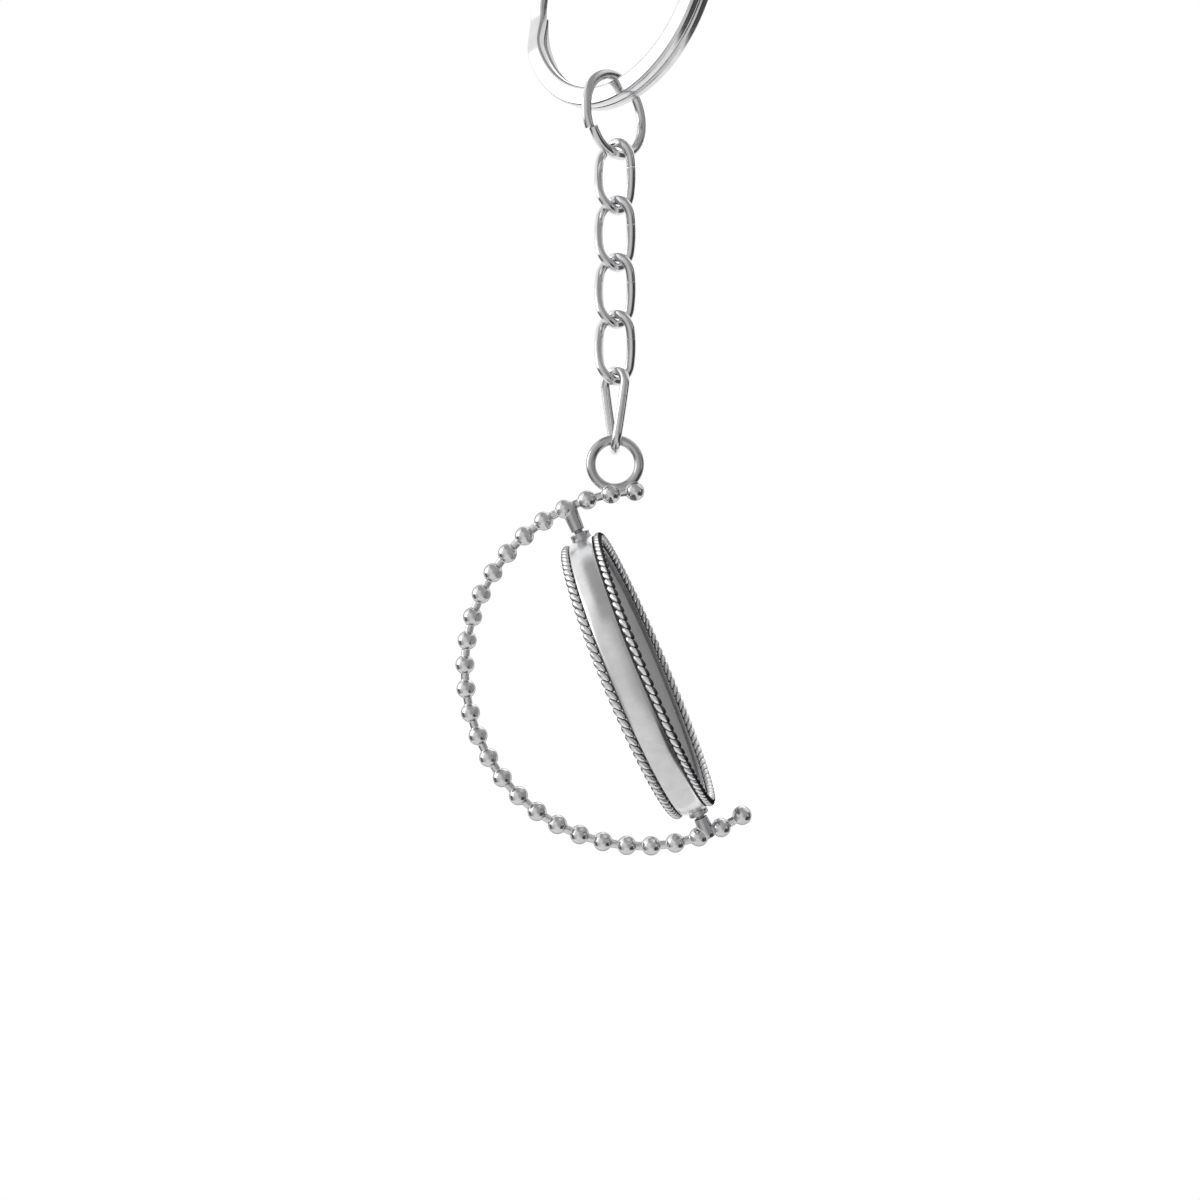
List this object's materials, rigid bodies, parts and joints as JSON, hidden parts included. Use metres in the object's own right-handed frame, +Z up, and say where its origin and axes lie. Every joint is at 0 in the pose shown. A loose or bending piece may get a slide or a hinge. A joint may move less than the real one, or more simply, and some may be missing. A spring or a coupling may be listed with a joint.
{
  "type": "rotating disc keychain",
  "caption": "Pocket keychain: split ring, short twisted link chain and a beaded crescent frame in which a round two-faced medallion with rope borders spins on pivot pins.",
  "frame": {"origin": "point on the inner edge of the split ring, at its top, where a hook or finger carries the keychain", "axes": "+Z up along the hanging chain; +X to the right and +Y away from a viewer who sees the crescent frame face on, with the disc turned almost edge on; the crescent frame lies in the XZ plane"},
  "size_m": [0.0295, 0.0294, 0.1005],
  "materials": {
    "plated_wire": "bright nickel-plated steel wire, polished, with fine drawing marks",
    "plated_casting": "bright plated casting, slightly uneven, darker in its recesses",
    "satin_casting": "plated casting with a soft satin band and darker trays",
    "pivot_steel": "bare turned steel",
    "insert_blank": "bare satin aluminium disc, unprinted",
    "adhesive": "thin matt glue pad"
  },
  "bodies": {
    "key_ring": {"split_ring": "plated_wire"},
    "connector": {"connector_ring": "plated_wire"},
    "link_1": {"chain_link_1": "plated_wire"},
    "link_2": {"chain_link_2": "plated_wire"},
    "link_3": {"chain_link_3": "plated_wire"},
    "link_4": {"chain_link_4": "plated_wire"},
    "link_5": {"pendant_link": "plated_wire"},
    "frame": {"crescent_frame": "plated_casting", "upper_pivot_pin": "pivot_steel", "lower_pivot_pin": "pivot_steel"},
    "disc": {"disc_rim": "satin_casting", "front_rope_border": "plated_casting", "rear_rope_border": "plated_casting", "front_insert": "insert_blank", "rear_insert": "insert_blank", "front_adhesive_pad": "adhesive", "rear_adhesive_pad": "adhesive"}
  },
  "joints": [
    {"name": "connector_swing", "type": "hinge", "parent": "key_ring", "child": "connector", "pos_m": [0, 0, -0.02247], "axis": [0.7071, -0.7071, 0], "range_deg": [-150, 150]},
    {"name": "link_1_swing", "type": "hinge", "parent": "connector", "child": "link_1", "pos_m": [0, 0, -0.02841], "axis": [0.7071, 0.7071, 0], "range_deg": [-110, 110]},
    {"name": "link_2_swing", "type": "hinge", "parent": "link_1", "child": "link_2", "pos_m": [0, 0, -0.03304], "axis": [0.7071, -0.7071, 0], "range_deg": [-80, 80]},
    {"name": "link_3_swing", "type": "hinge", "parent": "link_2", "child": "link_3", "pos_m": [0, 0, -0.03979], "axis": [0.7071, 0.7071, 0], "range_deg": [-80, 80]},
    {"name": "link_4_swing", "type": "hinge", "parent": "link_3", "child": "link_4", "pos_m": [0, 0, -0.04444], "axis": [-0.7071, 0.7071, 0], "range_deg": [-80, 80]},
    {"name": "link_5_swing", "type": "hinge", "parent": "link_4", "child": "link_5", "pos_m": [0, 0, -0.05119], "axis": [0.7071, 0.7071, 0], "range_deg": [-90, 90]},
    {"name": "frame_swing", "type": "hinge", "parent": "link_5", "child": "frame", "pos_m": [0, 0, -0.05809], "axis": [0, -1, 0], "range_deg": [-90, 90]},
    {"name": "disc_spin", "type": "hinge", "parent": "frame", "child": "disc", "pos_m": [0.00243, 0, -0.08045], "axis": [-0.3923, 0, 0.9198], "continuous": true}
  ]
}
